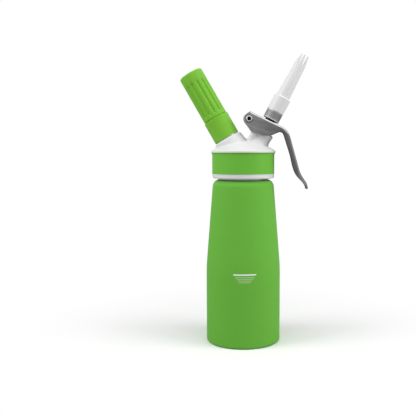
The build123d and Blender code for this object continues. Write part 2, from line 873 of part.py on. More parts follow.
with BuildPart() as pivot_screw:
    with BuildSketch(Plane.XZ.offset(-bolt_face)):
        with Locations(pivot_spot):
            Circle(screw_radius)
    extrude(amount=screw_length - seat_gap)
    with BuildSketch(Plane.XZ.offset(-bolt_face)):
        with Locations(pivot_spot):
            Circle(bolt_head_radius)
    extrude(amount=-bolt_head_height)
    fillet(pivot_screw.faces().sort_by(Axis.Y)[-1].outer_wire().edges(), bolt_head_round)
    with BuildSketch(Plane.XZ.offset(-bolt_face - bolt_head_height)):
        with Locations(pivot_spot):
            Rectangle(2 * bolt_head_radius, screw_slot)
    extrude(amount=screw_slot, mode=Mode.SUBTRACT)
pivot_screw.part.label = "pivot_screw"
export_step(pivot_screw.part, "parts/pivot_screw.step")
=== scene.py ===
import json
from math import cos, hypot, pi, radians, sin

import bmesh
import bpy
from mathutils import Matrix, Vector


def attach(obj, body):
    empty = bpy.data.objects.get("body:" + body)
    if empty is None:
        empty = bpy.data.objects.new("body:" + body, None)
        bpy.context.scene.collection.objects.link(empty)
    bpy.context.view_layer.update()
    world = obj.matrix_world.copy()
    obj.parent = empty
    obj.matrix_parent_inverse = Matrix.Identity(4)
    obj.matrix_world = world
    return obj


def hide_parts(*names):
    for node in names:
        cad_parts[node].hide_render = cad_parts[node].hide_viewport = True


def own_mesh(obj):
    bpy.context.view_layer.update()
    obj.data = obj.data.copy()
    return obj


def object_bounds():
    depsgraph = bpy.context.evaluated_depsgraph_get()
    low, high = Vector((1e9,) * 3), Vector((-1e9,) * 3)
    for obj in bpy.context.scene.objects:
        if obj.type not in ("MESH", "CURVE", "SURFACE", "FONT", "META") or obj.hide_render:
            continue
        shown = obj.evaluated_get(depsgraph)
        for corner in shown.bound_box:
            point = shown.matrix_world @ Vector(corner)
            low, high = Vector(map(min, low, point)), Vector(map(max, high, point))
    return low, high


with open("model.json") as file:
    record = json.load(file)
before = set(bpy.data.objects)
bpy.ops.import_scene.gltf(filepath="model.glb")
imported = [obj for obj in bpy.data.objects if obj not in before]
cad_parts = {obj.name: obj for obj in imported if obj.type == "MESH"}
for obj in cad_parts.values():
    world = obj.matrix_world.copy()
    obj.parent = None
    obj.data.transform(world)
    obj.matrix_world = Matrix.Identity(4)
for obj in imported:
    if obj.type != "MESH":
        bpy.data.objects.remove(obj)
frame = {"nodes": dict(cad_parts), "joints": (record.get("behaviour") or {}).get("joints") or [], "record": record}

# %% [markdown]
# # A whipped cream dispenser
# The solids of the dispenser are already here, in metres.
# This lesson gives them their finish, sets up a small studio, and adds what is too fine for the
# solids: threads, a coil, a knurl, a holder with soft flutes and a slotted tip. The box that the
# solids fill is measured first.

solid_low, solid_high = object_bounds()
parts = frame["nodes"]
print("solids:", len(parts), "box in mm:", [round(1000 * x, 1) for x in solid_high - solid_low])

# %% [markdown]
# ## Shader maths as Python
# A mask in a shader is arithmetic on sockets. Written out node by node it is hard to read, so one
# small class wraps a socket and lets Python's own operators add the Math nodes. A second class
# holds a node tree, and its method `node` adds any other node: it takes the type, then the
# settings, then the values or links of the inputs. Settings go first, because some of them change
# which inputs a node has.

# %% A socket that can be used in sums, and a tree that makes nodes
class Value:
    def __init__(self, nodes, socket):
        self.nodes, self.socket = nodes, socket

    def maths(self, operation, *others):
        return self.nodes.node("ShaderNodeMath", {"operation": operation}, self, *others)[0]

    def __add__(self, other):
        return self.maths("ADD", other)

    def __sub__(self, other):
        return self.maths("SUBTRACT", other)

    def __rsub__(self, other):
        return self.maths("MULTIPLY_ADD", -1.0, other)

    def __mul__(self, other):
        return self.maths("MULTIPLY", other)

    def __truediv__(self, other):
        return self.maths("DIVIDE", other)

    def __gt__(self, other):
        return self.maths("GREATER_THAN", other)

    def __lt__(self, other):
        return self.maths("LESS_THAN", other)

    def __abs__(self):
        return self.maths("ABSOLUTE")

    __radd__ = __add__
    __rmul__ = __mul__

    def rise(self, low, high):
        """0 below low, 1 above high, and smooth between."""
        settings = {"interpolation_type": "SMOOTHSTEP"}
        return self.nodes.node("ShaderNodeMapRange", settings, self, low, high, 0.0, 1.0)[0]


class Nodes:
    def __init__(self, tree):
        self.tree = tree

    def feed(self, socket, value):
        """Sets an input: a link for a Value, and the plain value for anything else."""
        if isinstance(value, Value):
            self.tree.links.new(value.socket, socket)
        elif value is not None:
            socket.default_value = value

    def node(self, kind, settings=None, *inputs, **named):
        """Adds a node: its settings first, then its inputs in order or by name. Returns its outputs."""
        made = self.tree.nodes.new(kind)
        for name, setting in (settings or {}).items():
            setattr(made, name, setting)
        for socket, value in zip(made.inputs, inputs):
            self.feed(socket, value)
        for name, value in named.items():
            self.feed(made.inputs[name.replace("_", " ")], value)
        return [Value(self, socket) for socket in made.outputs]


class Finish(Nodes):
    """A material with one Principled shader, whose constants are set on its own sockets."""

    def __init__(self, name, **constants):
        self.material = bpy.data.materials.new(name)
        self.material.use_nodes = True
        super().__init__(self.material.node_tree)
        self.shader = self.tree.nodes["Principled BSDF"]
        for socket, value in constants.items():
            self.shader.inputs[socket.replace("_", " ")].default_value = value

    def place(self):
        """Where the point is in the object's own frame, as a vector and as x, y and z in metres."""
        spot = self.node("ShaderNodeTexCoord")[3]
        return spot, *self.node("ShaderNodeSeparateXYZ", {}, spot)

    def noise(self, spot, lumps, detail=3.0):
        """Soft noise from 0 to 1, with so many lumps to the metre."""
        return self.node("ShaderNodeTexNoise", {}, Vector=spot, Scale=lumps, Detail=detail)[0]

    def mix(self, factor, first, second):
        """A colour between two."""
        skipped = [None] * 5
        return self.node("ShaderNodeMix", {"data_type": "RGBA"}, factor, *skipped, first, second)[2]

    def colour(self, value):
        self.feed(self.shader.inputs["Base Color"], value)

    def roughness(self, value):
        self.feed(self.shader.inputs["Roughness"], value)

    def metallic(self, value):
        self.feed(self.shader.inputs["Metallic"], value)

    def bump(self, height, distance, strength=1.0):
        """Raises the surface by height, from 0 to 1, times a distance in metres."""
        normal = self.node("ShaderNodeBump", {}, Strength=strength, Distance=distance, Height=height)[0]
        self.feed(self.shader.inputs["Normal"], normal)


def screen(red, green, blue):
    """A colour given as it looks on a screen, from 0 to 255, as linear RGBA."""
    shares = [channel / 255 for channel in (red, green, blue)]
    return [s / 12.92 if s <= 0.04045 else ((s + 0.055) / 1.055) ** 2.4 for s in shares] + [1.0]


print("a screen green as linear light:", [round(x, 3) for x in screen(105, 178, 66)])

# %% [markdown]
# ## The two necks' axes
# The charger holder and the valve lean out of the bottle's axis. Everything turned about them is
# easiest to make upright and then tipped into place, so each axis becomes a matrix. Its direction
# comes from the joint that slides along it, and its place from the silhouette of a turned solid:
# seen across the axis, the middle between its two edges lies on the axis.

# %% Axes measured from the solids
joints = {joint["name"]: joint for joint in frame["joints"]}
hair = 0.0001  # places of a solid that are closer than this count as one


def points_of(name):
    return [vertex.co for vertex in parts[name].data.vertices]


def axis_through(name, direction):
    """A matrix whose Z runs through a turned solid, from where its axis meets the bottle's."""
    along = Vector(direction).normalized()
    across = Vector((0, 1, 0)).cross(along)
    reach = [point.dot(across) for point in points_of(name)]
    middle = across * ((min(reach) + max(reach)) / 2)
    start = middle - along * (middle.x / along.x)
    turned = Matrix((across, Vector((0, 1, 0)), along)).transposed().to_4x4()
    return Matrix.Translation(start) @ turned


def heights_of(name, axis):
    """The lowest and highest place of a solid along an axis, and its greatest radius about it."""
    local = [axis.inverted() @ point for point in points_of(name)]
    heights = [point.z for point in local]
    return min(heights), max(heights), max(hypot(point.x, point.y) for point in local)


upright = Matrix.Identity(4)
valve_axis = axis_through("valve_stem", joints["tip_off"]["axis"])
charger_axis = axis_through("charger_spigot", joints["holder_screw_off"]["axis"])
pivot = Vector(joints["lever_squeeze"]["pos_m"])
for name, axis in (("valve", valve_axis), ("charger", charger_axis)):
    print(name, "axis leaves the bottle's at", round(1000 * axis.translation.z, 2), "mm")

# %% [markdown]
# ## Camera
# The dispenser is seen a little from above and two degrees to the right of its front, from
# about two thirds of a metre. One angle turns the camera and the lamps together about the
# bottle's axis. The camera looks straight at that axis, and its shift sets the bottle right of
# the picture's middle. The focal length gives this perspective on a sensor 36 mm wide.

# %% Camera
studio_turn = radians(2.1)
camera_place = Vector((0, -0.6587, 0.2048))
camera_pitch = radians(5.2)
camera_lens = 52.8  # mm
bottle_in_picture = -0.0847  # how far the picture's middle lies from the bottle, in picture widths


def in_studio(place):
    """A place given in front of the camera's view, turned with it about the bottle's axis."""
    return Matrix.Rotation(studio_turn, 3, "Z") @ Vector(place)


camera = bpy.data.objects.new("camera", bpy.data.cameras.new("camera"))
camera.location = in_studio(camera_place)
camera.rotation_euler = (pi / 2 - camera_pitch, 0, studio_turn)
camera.data.lens = camera_lens
camera.data.shift_x = bottle_in_picture
camera.data.clip_start = 0.01
bpy.context.collection.objects.link(camera)
bpy.context.scene.camera = camera
bpy.context.scene.view_settings.view_transform = "Standard"
print("camera", [round(x, 3) for x in camera.location], "lens", camera_lens, "mm")

# %% [markdown]
# ## Studio
# A soft box high on each side and a larger one overhead. The side boxes brighten both edges of
# the matte bottle and leave its middle a little deeper, which is what gives a round green body
# its shape, and because they hang high, the leaning necks are lighter on top than below. The
# backdrop is white only for the camera, for glossy and for transmitted rays, so it adds no light
# to the object. The floor fades into it far from the object, where no shadow falls, and is white
# for the camera and a mid grey for light that bounces, so that undersides keep their shade.

# %% Lamps
def soft_box(name, place, target, size, power):
    """A square area lamp at a place, turned to a target."""
    lamp = bpy.data.lights.new(name, "AREA")
    lamp.shape = "SQUARE"
    lamp.size = size
    lamp.energy = power
    holder = bpy.data.objects.new(name, lamp)
    holder.location = in_studio(place)
    holder.rotation_euler = (target - holder.location).to_track_quat("-Z", "Y").to_euler()
    bpy.context.collection.objects.link(holder)


middle = (solid_low + solid_high) / 2
soft_box("left_box", (-0.85, -0.3, 0.75), middle, 0.6, 5.8)
soft_box("right_box", (0.85, -0.3, 0.55), middle, 0.6, 5.4)
soft_box("top_box", (0.05, -0.35, 1.15), middle, 0.8, 3.4)

# %% Backdrop and floor
white = (1.0, 1.0, 1.0, 1.0)
world = bpy.data.worlds.new("studio")
bpy.context.scene.world = world
world.use_nodes = True
studio = Nodes(world.node_tree)
rays = studio.node("ShaderNodeLightPath")
camera_ray, glossy_ray, transmitted_ray = rays[0], rays[3], rays[6]
looked_at = camera_ray.maths("MAXIMUM", glossy_ray).maths("MAXIMUM", transmitted_ray)
fill_light = studio.node("ShaderNodeBackground", {}, white, 0.4)[0]
backdrop = studio.node("ShaderNodeBackground", {}, white, 1.0)[0]
sky = studio.node("ShaderNodeMixShader", {}, looked_at, fill_light, backdrop)[0]
studio.feed(studio.tree.nodes["World Output"].inputs["Surface"], sky)

fade_reach = (0.06, 0.3)  # from the bottle's axis, where the floor turns into the backdrop
paper = Finish("floor_paper", Roughness=0.9, Specular_IOR_Level=0.1)
spot, x, y, z = paper.place()
distance = (x * x + y * y).maths("SQRT")
seen = paper.node("ShaderNodeLightPath")[0]
far = distance.rise(*fade_reach) * seen
paper.colour(paper.mix(seen, screen(195, 195, 195), screen(250, 250, 250)))
glow = paper.node("ShaderNodeEmission", {}, white, 1.0)[0]
lit = Value(paper, paper.shader.outputs[0])
sweep = paper.node("ShaderNodeMixShader", {}, far, lit, glow)[0]
paper.feed(paper.tree.nodes["Material Output"].inputs["Surface"], sweep)

floor_reach = 6.0
floor_shape = bmesh.new()
corners = [(-1, -1), (1, -1), (1, 1), (-1, 1)]
floor_shape.faces.new([floor_shape.verts.new((floor_reach * x, floor_reach * y, 0)) for x, y in corners])
floor_mesh = bpy.data.meshes.new("floor")
floor_shape.to_mesh(floor_mesh)
floor_shape.free()
floor = bpy.data.objects.new("floor", floor_mesh)
floor.data.materials.append(paper.material)
bpy.context.collection.objects.link(floor)
print("floor", 2 * floor_reach, "m across")

# %% [markdown]
# ## Green soft-touch coat
# The bottle is spun aluminium with a soft-touch coat outside and bare metal inside and on the
# neck. One material does both: a mask tells the inside by the surface's own direction, because an
# inner wall faces the axis, and the neck by its height. The same maths paints the fill mark: bars
# laid round the bottle, measured as an arc along its front.

# %% Bottle finish
bottle_green = screen(104, 178, 62)
bottle_green_light = screen(107, 181, 64)
bare_metal = screen(176, 177, 180)
mark_white = screen(240, 243, 238)
mark_pale = screen(168, 205, 146)
neck_start = 0.1752
inside_floor = (0.0030, 0.0065)  # the heights between which the bare floor of the inside lies
inside_radius = 0.0386
faces_axis = -0.05  # a wall whose outward share lies below this faces the axis
bottle_radius = heights_of("bottle_shell", upright)[2]
mark_shift = 0.0031
mark_line = (0.0791, 0.0240, 0.0014)  # height, width and thickness
pale_bars = ((0.0763, 0.0205), (0.0746, 0.0175), (0.0729, 0.0150), (0.0711, 0.0125))
pale_thickness = 0.0008


def bottle_coat():
    finish = Finish("soft_touch_green", Specular_IOR_Level=0.12)
    spot, x, y, z = finish.place()
    facing = finish.node("ShaderNodeTexCoord")[1]
    face_x, face_y = finish.node("ShaderNodeSeparateXYZ", {}, facing)[:2]
    radius = (x * x + y * y).maths("SQRT")
    outward = (x * face_x + y * face_y) / radius
    inner_wall = outward < faces_axis
    inner_floor = (z > inside_floor[0]) * (z < inside_floor[1]) * (radius < inside_radius)
    metal = (inner_wall + inner_floor + (z > neck_start)).maths("MINIMUM", 1.0)

    # The fill mark
    arc = x.maths("ARCTAN2", y * -1.0) * bottle_radius - mark_shift

    def bar(height, width, thickness):
        return (abs(arc) < width / 2) * (abs(z - height) < thickness / 2) * (1 - metal)

    line = bar(*mark_line)
    pale = sum(bar(height, width, pale_thickness) for height, width in pale_bars)
    green = finish.mix(finish.noise(spot, 60.0), bottle_green, bottle_green_light)
    marked = finish.mix(line, finish.mix(pale, green, mark_pale), mark_white)
    finish.colour(finish.mix(metal, marked, bare_metal))
    finish.metallic(metal)
    finish.roughness(0.5 + 0.06 * finish.noise(spot, 90.0) - 0.18 * metal)
    finish.bump(finish.noise(spot, 5200.0, 1.0), 0.000008, 0.3)
    return finish.material


def away_from(x, y, z, start, direction):
    """How far a point of a surface is from an axis."""
    dx, dy, dz = x - start.x, y - start.y, z - start.z
    along = dx * direction.x + dy * direction.y + dz * direction.z
    return (dx * dx + dy * dy + dz * dz - along * along).maths("SQRT")


def dress(name, material):
    """Gives a solid its finish."""
    slots = parts[name].data.materials
    slots.clear()
    slots.append(material)


dress("bottle_shell", bottle_coat())
print("bottle dressed, with", 1 + len(pale_bars), "bars in its fill mark")

# %% [markdown]
# ## Plastics and rubber
# The holder is moulded green plastic, the band is a green silicone ring, and the head and tip are
# white plastic. Moulded plastic isn't perfectly smooth: a fine grain in the mould and a faint
# unevenness in its gloss keep highlights from looking like a computer's.

# %% Moulded finishes
def moulded(name, colour, second, roughness, grain, depth, **constants):
    """Moulded plastic or rubber: two close tones, an uneven gloss and a fine grain."""
    finish = Finish(name, **constants)
    spot = finish.place()[0]
    finish.colour(finish.mix(finish.noise(spot, 45.0), colour, second))
    finish.roughness(roughness + 0.07 * finish.noise(spot, 110.0))
    finish.bump(finish.noise(spot, grain, 2.0), depth, 0.3)
    return finish.material


matte = {"Specular_IOR_Level": 0.15}
holder_green = moulded(
    "holder_green", screen(120, 188, 57), screen(124, 191, 58), 0.42, 3200.0, 0.000003, **matte)
band_green = moulded(
    "band_green", screen(107, 183, 62), screen(110, 186, 63), 0.5, 4200.0, 0.000004, **matte)
white_tones = (screen(222, 222, 222), screen(225, 225, 225))
white_plastic = moulded("white_plastic", *white_tones, 0.36, 2600.0, 0.000002)
tip_plastic = moulded("tip_plastic", *white_tones, 0.38, 2600.0, 0.000002)
pale_rubber = moulded(
    "pale_rubber", screen(205, 203, 196), screen(210, 208, 202), 0.6, 3000.0, 0.00001)
black_rubber = moulded(
    "black_rubber", screen(18, 18, 19), screen(24, 24, 25), 0.5, 3000.0, 0.00001)

dress("head_grip_band", band_green)
dress("head_body", white_plastic)
dress("decorator_tip", tip_plastic)
dress("valve_bush", white_plastic)
for name in ("head_gasket", "charger_seal", "check_valve"):
    dress(name, pale_rubber)
for name in ("adapter_washer", "valve_seal", "stem_ring"):
    dress(name, black_rubber)
print("moulded finishes dressed")

# %% [markdown]
# ## Metals
# The lever is pressed sheet, brushed along its length. Brushing is noise stretched hard in one
# direction: its lines change the colour and the roughness a little and stand up as fine scratches.
# The sheet's colour also carries painted light: it is painted a lighter grey at the pivot and the
# nose than at the bend, its upper bends carry a painted highlight, and its back and inside carry
# painted shade. Masks on the surface's own direction and place tell these apart. A grey edge tint
# keeps the sheet from flashing white where it is seen at a glance, and a dark ring round the bolt's
# head is a painted shadow. Turned parts have the same lines, running round their axis instead.

# %% Metal finishes
bolt_axis = Matrix.Translation(pivot) @ Matrix.Rotation(pi / 2, 4, "X")
bolt_direction = Vector((0, 1, 0))
# The two values below place a painted shadow ring round the bolt's head, lowered so that it shows most below the
# head.
bolt_shadow_radius = heights_of("pivot_bolt", bolt_axis)[2] + 0.0004
bolt_shadow_drop = 0.0004  # the seat's shade shows most below the head
# The reaches below set where the lever's side is painted lighter, near the pivot and at the nose, and where it
# turns to painted shade towards the bend.
lever_low = min(point.z for point in points_of("lever"))
nose_reach = (0.004, 0.020)  # above the lever's lowest point
side_reach = (0.004, 0.040)  # from the pivot to the bend, where the side darkens
handle_reach = (0.034, 0.044)
brush_slope = radians(25.5)
brush_long = 90.0  # lumps to the metre along the brushing, and across it
brush_fine = 1500.0


def brushed_lever():
    """Sheet brushed along the lever's plate, lighter by the pivot and nose, with a painted highlight on its upper
    bends and painted shade inside and on its back.
    """
    finish = Finish("brushed_lever", Metallic=1.0, Specular_Tint=screen(150, 150, 150))
    spot, x, y, z = finish.place()
    along = (x * cos(brush_slope) - z * sin(brush_slope)) * brush_long
    across = (x * sin(brush_slope) + z * cos(brush_slope)) * brush_fine
    strands = finish.node("ShaderNodeCombineXYZ", {}, along, y * brush_fine, across)[0]
    lines = finish.noise(strands, 1.0, 4.0)
    facing = finish.node("ShaderNodeTexCoord")[1]
    face_x, face_y, face_z = finish.node("ShaderNodeSeparateXYZ", {}, facing)
    outward = face_x * 0.6 + face_z * 0.75
    strand = lines.rise(0.3, 0.7)
    # Painted light and shade: a lighter grey near the pivot, a darker one near the bend, and a lighter one at the
    # nose.
    pivot_painted_light = finish.mix(strand, screen(114, 114, 115), screen(146, 146, 147))
    bend_painted_shade = finish.mix(strand, screen(92, 92, 93), screen(108, 108, 109))
    towards_bend = x.rise(pivot.x + side_reach[0], pivot.x + side_reach[1])
    nose = 1 - z.rise(lever_low + nose_reach[0], lever_low + nose_reach[1])
    side = finish.mix(nose, finish.mix(towards_bend, pivot_painted_light, bend_painted_shade), screen(142, 142, 143))
    # Painted shade: the inside of the flanges and the back of the sheet are darker.
    inside = (outward * -1.0).rise(0.1, 0.7) * (1 - nose)
    with_inside_shade = finish.mix(inside, side, screen(74, 74, 75))
    with_back_shade = finish.mix(outward.rise(0.05, 0.4), with_inside_shade, screen(88, 88, 89))
    handle = x.rise(pivot.x + handle_reach[0], pivot.x + handle_reach[1])
    # A painted highlight on the upper bends, where they face up towards the overhead light.
    bend_highlight = face_z.rise(0.2, 0.45) * abs(face_y).rise(0.25, 0.5) * (1 - handle)
    with_bend_highlight = finish.mix(bend_highlight, with_back_shade, screen(196, 196, 197))
    # A painted shadow: a dark ring round the bolt's head.
    bolt_shadow_ring = away_from(x, y, z, pivot - Vector((0, 0, bolt_shadow_drop)), bolt_direction) < bolt_shadow_radius
    finish.colour(finish.mix(bolt_shadow_ring, with_bend_highlight, screen(38, 38, 39)))
    finish.roughness(0.36 + 0.14 * lines + 0.06 * finish.noise(spot, 90.0))
    finish.bump(lines, 0.00001, 0.4)
    return finish.material


def turned(name, colour, dark, axis, roughness):
    """Metal with fine tool lines round an axis."""
    finish = Finish(name, Metallic=1.0)
    x, y, z = finish.place()[1:]
    direction = axis.to_3x3().col[2]
    height = x * direction.x + y * direction.y + z * direction.z
    grooves = finish.node("ShaderNodeCombineXYZ", {}, height * 4200.0, 0.0, 0.0)[0]
    lines = finish.noise(grooves, 1.0, 2.0)
    finish.colour(finish.mix(lines, dark, colour))
    finish.roughness(roughness + 0.1 * lines)
    finish.bump(lines, 0.000005, 0.4)
    return finish.material


valve_metal = turned("turned_valve", screen(150, 150, 151), screen(124, 124, 125), valve_axis, 0.34)
charger_metal = turned("turned_charger", screen(190, 190, 191), screen(165, 165, 166), charger_axis, 0.28)

dress("lever", brushed_lever())
for name in ("valve_stem", "valve_spring", "seal_washer", "seal_nut", "nozzle_adapter"):
    dress(name, valve_metal)
for name in ("charger_spigot", "pin_holder", "piercing_pin", "holder_insert"):
    dress(name, charger_metal)
print("metals dressed")

# %% [markdown]
# ## Pivot bolt
# The bolt is bright, and its hexagon socket is painted near-black, as painted shade for its deep
# recess. The socket is a recess in the solid, so a mask picks what is close to the bolt's axis and
# behind its front face, down to the socket's floor.

# %% Bolt finish
bolt_front = min(point.y for point in points_of("pivot_bolt"))
socket_reach = 0.00242
socket_depth = 0.0036
bolt = Finish("pivot_steel")
x, y, z = bolt.place()[1:]
from_axis = away_from(x, y, z, pivot, bolt_direction)
socket = (from_axis < socket_reach) * (y > bolt_front + hair) * (y < bolt_front + socket_depth)
rings_and_lines = bolt.node("ShaderNodeCombineXYZ", {}, from_axis * 5200.0, y * 900.0, 0.0)[0]
swirl = bolt.noise(rings_and_lines, 1.0, 2.0)
steel = bolt.mix(swirl, screen(190, 190, 191), screen(212, 212, 213))
# The socket is painted near-black and not metallic, as painted shade for the recess.
bolt.colour(bolt.mix(socket, steel, screen(12, 12, 12)))
bolt.metallic(1 - socket)
bolt.roughness(0.26 + 0.1 * swirl + 0.4 * socket)
bolt.bump(swirl, 0.000004, 0.4)
for name in ("pivot_bolt", "pivot_screw"):
    dress(name, bolt.material)
print("bolt front at y", round(1000 * bolt_front, 2), "mm")

# %% [markdown]
# ## One way to make turned, wound and knurled pieces
# A thread, a coil, a knurled sleeve and a slotted tip are all a row of rings of points with skin
# between them. A thread's rings are small sections that climb round an axis, and a sleeve's are
# its whole half section, turned step by step until the last meets the first. Edges that turn
# sharply are marked sharp, so that the rest can shade smooth.

# %% Skin over a row of rings
sharp_angle = radians(28)
thread_foot = 0.42  # half a thread's width at its root and at its crest, in pitches
thread_flat = 0.14
thread_sink = 0.15  # how far it reaches into its wall, in thread heights


def skin(name, rings, axis, body, material, loop=False, to_axis=False):
    """
    A closed piece over a row of rings of points, placed on an axis and riding a body. With loop the
    last ring meets the first, and with to_axis each ring starts and ends on the axis. Points that
    fall together become one.
    """
    shape = bmesh.new()
    rows = [[shape.verts.new(axis @ Vector(point)) for point in ring] for ring in rings]
    for first, second in zip(rows, rows[1:] + rows[:1] * loop):
        for k in range(1 if to_axis else 0, len(first)):
            shape.faces.new((first[k - 1], first[k], second[k], second[k - 1]))
    if not loop:
        shape.faces.new(rows[0])
        shape.faces.new(reversed(rows[-1]))
    bmesh.ops.remove_doubles(shape, verts=shape.verts, dist=0.000001)
    bmesh.ops.recalc_face_normals(shape, faces=shape.faces)
    for face in shape.faces:
        face.smooth = True
    for edge in shape.edges:
        edge.smooth = edge.calc_face_angle(0.0) < sharp_angle
    mesh = bpy.data.meshes.new(name)
    shape.to_mesh(mesh)
    shape.free()
    mesh.materials.append(material)
    piece = bpy.data.objects.new(name, mesh)
    bpy.context.collection.objects.link(piece)
    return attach(piece, body)


def around(radius, angle, height):
    return (radius * cos(angle), radius * sin(angle), height)


def thread_rings(root, crest, pitch, low, high, steps=48):
    """Sections of a thread that stands from root to crest and fades out at both ends."""
    count = int((high - low) / pitch * steps)
    fade_steps = steps / 6
    rings = []
    for step in range(count + 1):
        angle = 2 * pi * step / steps
        height = low + pitch * step / steps
        fade = min(1.0, step / fade_steps, (count - step) / fade_steps)
        top = root + (crest - root) * fade
        sunk = root - thread_sink * (crest - root)
        section = (
            (sunk, -thread_foot), (top, -thread_flat), (top, thread_flat), (sunk, thread_foot))
        rings.append([around(radius, angle, height + share * pitch) for radius, share in section])
    return rings


print("sharp edges from", round(sharp_angle * 180 / pi), "degrees")

# %% [markdown]
# ## Threads of the neck and skirt
# The head screws onto the bottle's neck. The neck's thread stands out from it and the skirt's
# stands inwards, and a little play between their crests lets the head turn without touching.

# %% Neck and skirt threads
thread_pitch = 2 * pi * frame["record"]["behaviour"]["couplings"][0]["ratio"]
neck_only = 0.19  # above this height the bottle is only its neck
thread_height = 0.0011
thread_play = 0.0002
neck_points = [point for point in points_of("bottle_shell") if point.z > neck_only]
neck_radius = max(hypot(point.x, point.y) for point in neck_points)
neck_top = max(point.z for point in neck_points)
near_top = 0.004
skirt_points = [point for point in points_of("head_body") if abs(point.z - neck_top) < near_top]
skirt_bore = min(r for r in (hypot(p.x, p.y) for p in skirt_points) if r > neck_radius)
neck_crest = neck_radius + thread_height
neck_thread_reach = (0.0145, 0.0035)  # both threads' ends, below the neck's top
skirt_thread_reach = (0.0165, 0.0065)
neck_metal = Finish("neck_metal", Metallic=1.0)
scuffs = neck_metal.noise(neck_metal.place()[0], 700.0, 3.0)
neck_metal.colour(neck_metal.mix(scuffs, screen(170, 171, 174), screen(184, 185, 187)))
neck_metal.roughness(0.3 + 0.12 * scuffs)
neck_ends = [neck_top - below for below in neck_thread_reach]
skirt_ends = [neck_top - below for below in skirt_thread_reach]
skin(
    "neck_thread", thread_rings(neck_radius, neck_crest, thread_pitch, *neck_ends),
    upright, "bottle", neck_metal.material)
skin(
    "skirt_thread", thread_rings(skirt_bore, neck_crest + thread_play, thread_pitch, *skirt_ends),
    upright, "head", white_plastic)
print("neck thread on", round(1000 * neck_radius, 2), "mm, skirt bore", round(1000 * skirt_bore, 2), "mm")

# %% [markdown]
# ## Threaded spigot
# With the charger holder off, the spigot it screws onto shows: a turned aluminium stub with a fine
# thread. It is rebuilt from the sizes of the pieces inside it, with its wall cut back to the
# thread's root, and stands for the plain solid.

# %% Spigot
def lathe_rings(profile, steps=96):
    """A half section, as (radius, height) points, turned once round."""
    angles = [2 * pi * step / steps for step in range(steps)]
    return [[around(radius, angle, height) for radius, height in profile] for angle in angles]


spigot_low, spigot_high, spigot_radius = heights_of("charger_spigot", charger_axis)
seal_low, _, seal_radius = heights_of("charger_seal", charger_axis)
pin_holder_low, _, pin_holder_radius = heights_of("pin_holder", charger_axis)
insert_low, insert_top, _ = heights_of("holder_insert", charger_axis)
gas_way = 0.0020
spigot_pitch = 0.0018
spigot_root = spigot_radius - 0.0008
spigot_edge = 0.0006
spigot_step = 0.0003  # the slope from the full wall down to the root
thread_start = insert_low + 0.0016
thread_end = spigot_high - 0.0012
spigot = skin(
    "threaded_spigot",
    lathe_rings((
        (gas_way, spigot_low),
        (spigot_radius, spigot_low),
        (spigot_radius, insert_low - spigot_step),
        (spigot_root, insert_low + spigot_step),
        (spigot_root, spigot_high - spigot_edge),
        (spigot_root - spigot_edge, spigot_high),
        (seal_radius, spigot_high),
        (seal_radius, seal_low),
        (pin_holder_radius, seal_low),
        (pin_holder_radius, pin_holder_low),
        (gas_way, pin_holder_low),
    )),
    charger_axis, "head", charger_metal, loop=True)
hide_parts("charger_spigot")
skin(
    "spigot_thread",
    thread_rings(spigot_root, spigot_radius, spigot_pitch, thread_start, thread_end),
    charger_axis, "head", charger_metal)
print("spigot", round(1000 * (spigot_high - spigot_low), 1), "mm long")

# %% [markdown]
# ## Charger holder
# The holder is one moulding: a smooth sleeve round the thread, and above it a grip with shallow
# finger flutes that fade out at both ends. Its half section is turned round like the spigot's, and
# each flute is a dip in the radius, deepest on its middle line. Inside it keeps the solid's own
# pocket for the insert and the bay for the charger, measured from the solid.

# %% Holder
def half_section(name, axis):
    """Each point of a solid as its radius and height about an axis."""
    local = [axis.inverted() @ point for point in points_of(name)]
    return [(hypot(point.x, point.y), point.z) for point in local]


holder_low, holder_high, solid_sleeve = heights_of("charger_holder", charger_axis)
holder_sizes = half_section("charger_holder", charger_axis)
pocket_radius = min(radius for radius, height in holder_sizes if height < holder_low + hair)
bay_radius = min(radius for radius, height in holder_sizes if abs(height - insert_top) < hair)
close = 0.001  # to the axis, or to the holder's end
sleeve_play = 0.0005
on_axis = [height for radius, height in holder_sizes if radius < close]
bay_top = max(height for height in on_axis if height < holder_high - close)
sleeve_top = max(height for radius, height in holder_sizes if radius > solid_sleeve - sleeve_play)
sleeve_radius = 0.0139
grip_foot_radius = 0.0131
grip_end_radius = 0.0130
sleeve_round = 0.0004
shadow_gap = 0.0007
end_round = 0.0018
end_drop = 0.00095  # keeps the rounder end within the solid's reach
grip_top = holder_high - end_drop
flute_count = 13
flute_columns = 16
flute_rows = 44
flute_start = radians(-77.4)
flute_depth = 0.0013
flute_half_width = 0.0021
flute_low = sleeve_top + 0.0037
flute_high = holder_high - 0.0115


def flute_dip(angle, height):
    """How far the surface lies under the grip's round: full on a flute's middle line, none beside it."""
    spacing = 2 * pi / flute_count
    aside = (angle - flute_start + spacing / 2) % spacing - spacing / 2
    beyond = max(flute_low + flute_half_width - height, height - flute_high + flute_half_width, 0)
    share = min(1.0, hypot(grip_foot_radius * aside, beyond) / flute_half_width)
    return flute_depth * (1 - share * share) ** 2


def quarter(radius, centre_radius, centre_height, steps=6):
    """A rounded corner in a half section, from its outermost point to its highest."""
    turns = [pi / 2 * step / steps for step in range(steps + 1)]
    return [(centre_radius + radius * cos(turn), centre_height + radius * sin(turn)) for turn in turns]


